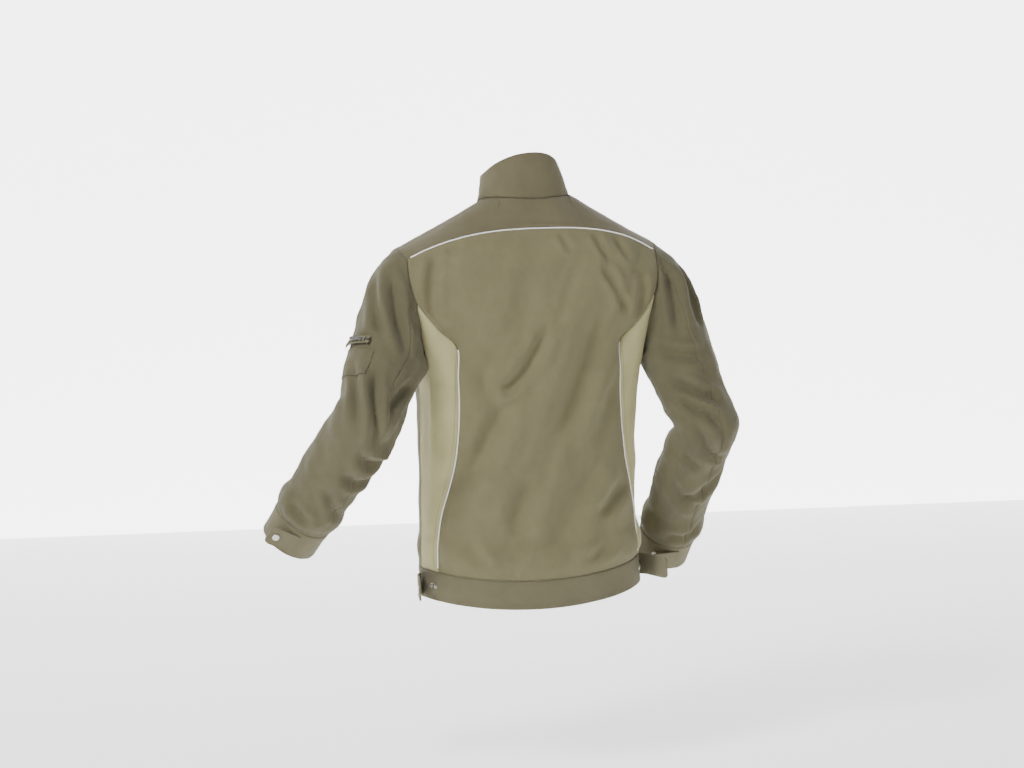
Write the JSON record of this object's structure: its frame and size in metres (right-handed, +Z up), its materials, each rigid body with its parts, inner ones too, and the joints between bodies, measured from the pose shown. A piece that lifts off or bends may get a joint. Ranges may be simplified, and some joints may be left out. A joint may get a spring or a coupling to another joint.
{
  "type": "work jacket",
  "caption": "Hip-length olive work jacket with stand collar, full front zip, chest pockets, reflective piping and snap tabs at hem and cuffs.",
  "frame": {"origin": "middle of the back neck seam, where the hanger loop is sewn", "axes": "+Z up along the wearer, -Y the way the wearer faces, +X the wearer's left"},
  "size_m": [0.8059, 0.3044, 0.7518],
  "materials": {
    "shell": "olive twill cloth",
    "side": "lighter olive twill cloth",
    "band": "olive twill cloth, doubled",
    "piping": "silver-white reflective piping",
    "tape": "woven zip tape with moulded teeth",
    "metal": "plain nickel-coloured metal"
  },
  "bodies": {
    "torso": {"back_yoke": "shell", "back_panel": "shell", "side_panel_left": "side", "side_panel_right": "side", "waistband_back": "band", "collar": "shell", "hanger_loop": "band", "yoke_piping": "piping", "side_piping_left": "piping", "side_piping_right": "piping", "hem_snap_left_1": "metal", "hem_snap_left_2": "metal", "hem_snap_right_1": "metal", "hem_snap_right_2": "metal"},
    "front_left": {"front_panel_left": "shell", "waistband_front_left": "band", "zipper_left": "tape", "chest_pocket_left": "shell", "hand_pocket_welt_left": "shell", "pocket_snap_stud_left": "metal"},
    "flap_left": {"pocket_flap_left": "shell", "pocket_snap_cap_left": "metal"},
    "hem_strap_left": {"hem_tab_left": "band", "hem_tab_cap_left": "metal"},
    "sleeve_left": {"sleeve_head_left": "shell", "sleeve_upper_left": "shell", "sleeve_elbow_left": "shell", "sleeve_pocket": "shell", "sleeve_zip": "tape"},
    "forearm_left": {"sleeve_forearm_left": "shell", "cuff_left": "band", "cuff_snap_left_1": "metal", "cuff_snap_left_2": "metal"},
    "cuff_strap_left": {"cuff_tab_left": "band", "cuff_tab_cap_left": "metal"},
    "front_right": {"front_panel_right": "shell", "waistband_front_right": "band", "zipper_right": "tape", "chest_pocket_right": "shell", "hand_pocket_welt_right": "shell", "pocket_snap_stud_right": "metal"},
    "flap_right": {"pocket_flap_right": "shell", "pocket_snap_cap_right": "metal"},
    "hem_strap_right": {"hem_tab_right": "band", "hem_tab_cap_right": "metal"},
    "sleeve_right": {"sleeve_head_right": "shell", "sleeve_upper_right": "shell", "sleeve_elbow_right": "shell"},
    "forearm_right": {"sleeve_forearm_right": "shell", "cuff_right": "band", "cuff_snap_right_1": "metal", "cuff_snap_right_2": "metal"},
    "cuff_strap_right": {"cuff_tab_right": "band", "cuff_tab_cap_right": "metal"},
    "front_zip_slider": {"zip_slider": "metal"},
    "front_zip_pull": {"zip_pull": "metal"},
    "pocket_zip_slider": {"sleeve_zip_slider": "metal"},
    "pocket_zip_pull": {"sleeve_zip_pull": "metal"}
  },
  "joints": [
    {"name": "front_left_open", "type": "hinge", "parent": "torso", "child": "front_left", "pos_m": [0.1995, -0.115, -0.4], "axis": [0, 0, 1], "range_deg": [0, 35], "deforming": ["collar"]},
    {"name": "pocket_flap_left_open", "type": "hinge", "parent": "front_left", "child": "flap_left", "pos_m": [0.10022, -0.18482, -0.14626], "axis": [-0.9724, -0.2073, 0.1071], "range_deg": [0, 105]},
    {"name": "hem_tab_left_open", "type": "hinge", "parent": "torso", "child": "hem_strap_left", "pos_m": [0.201, -0.104, -0.634], "axis": [0, 0, -1], "range_deg": [-5, 70]},
    {"name": "sleeve_left_raise", "type": "hinge", "parent": "torso", "child": "sleeve_left", "pos_m": [0.205, -0.075, -0.105], "axis": [0, -1, 0], "range_deg": [0, 60], "deforming": ["sleeve_head_left"]},
    {"name": "elbow_left_bend", "type": "hinge", "parent": "sleeve_left", "child": "forearm_left", "pos_m": [0.298, -0.01, -0.345], "axis": [-0.8885, -0.0696, -0.4536], "range_deg": [-28, 30], "deforming": ["sleeve_elbow_left"]},
    {"name": "cuff_tab_left_open", "type": "hinge", "parent": "forearm_left", "child": "cuff_strap_left", "pos_m": [0.40962, -0.08045, -0.54981], "axis": [-0.4288, 0.4781, 0.7665], "range_deg": [0, 70]},
    {"name": "front_right_open", "type": "hinge", "parent": "torso", "child": "front_right", "pos_m": [-0.1995, -0.115, -0.4], "axis": [0, 0, -1], "range_deg": [0, 35], "deforming": ["collar"]},
    {"name": "pocket_flap_right_open", "type": "hinge", "parent": "front_right", "child": "flap_right", "pos_m": [-0.10022, -0.18482, -0.14626], "axis": [-0.9724, 0.2073, -0.1071], "range_deg": [0, 105]},
    {"name": "hem_tab_right_open", "type": "hinge", "parent": "torso", "child": "hem_strap_right", "pos_m": [-0.201, -0.104, -0.634], "axis": [0, 0, 1], "range_deg": [-5, 48]},
    {"name": "sleeve_right_raise", "type": "hinge", "parent": "torso", "child": "sleeve_right", "pos_m": [-0.205, -0.075, -0.105], "axis": [0, 1, 0], "range_deg": [0, 60], "deforming": ["sleeve_head_right"]},
    {"name": "elbow_right_bend", "type": "hinge", "parent": "sleeve_right", "child": "forearm_right", "pos_m": [-0.29, -0.012, -0.39], "axis": [-0.9009, -0.4048, 0.1566], "range_deg": [-28, 20], "deforming": ["sleeve_elbow_right"]},
    {"name": "cuff_tab_right_open", "type": "hinge", "parent": "forearm_right", "child": "cuff_strap_right", "pos_m": [-0.26963, -0.11128, -0.6335], "axis": [-0.0986, 0.5422, 0.8344], "range_deg": [0, 70]},
    {"name": "front_zip_slide", "type": "hinge", "parent": "front_right", "child": "front_zip_slider", "pos_m": [0, 1.28935, -0.56007], "axis": [1, 0, 0], "range_deg": [0, 25.31]},
    {"name": "front_zip_pull_tilt", "type": "hinge", "parent": "front_zip_slider", "child": "front_zip_pull", "pos_m": [-0.0037, -0.142, 0.02479], "axis": [-1, 0, 0], "range_deg": [0, 140]},
    {"name": "sleeve_zip_slide", "type": "hinge", "parent": "sleeve_left", "child": "pocket_zip_slider", "pos_m": [0.2532, -0.0448, -0.25191], "axis": [0.411, 0.3192, -0.8539], "range_deg": [0, 36]},
    {"name": "sleeve_zip_pull_tilt", "type": "hinge", "parent": "pocket_zip_slider", "child": "pocket_zip_pull", "pos_m": [0.3037, -0.00767, -0.21372], "axis": [-0.411, -0.3192, 0.8539], "range_deg": [0, 140]}
  ]
}
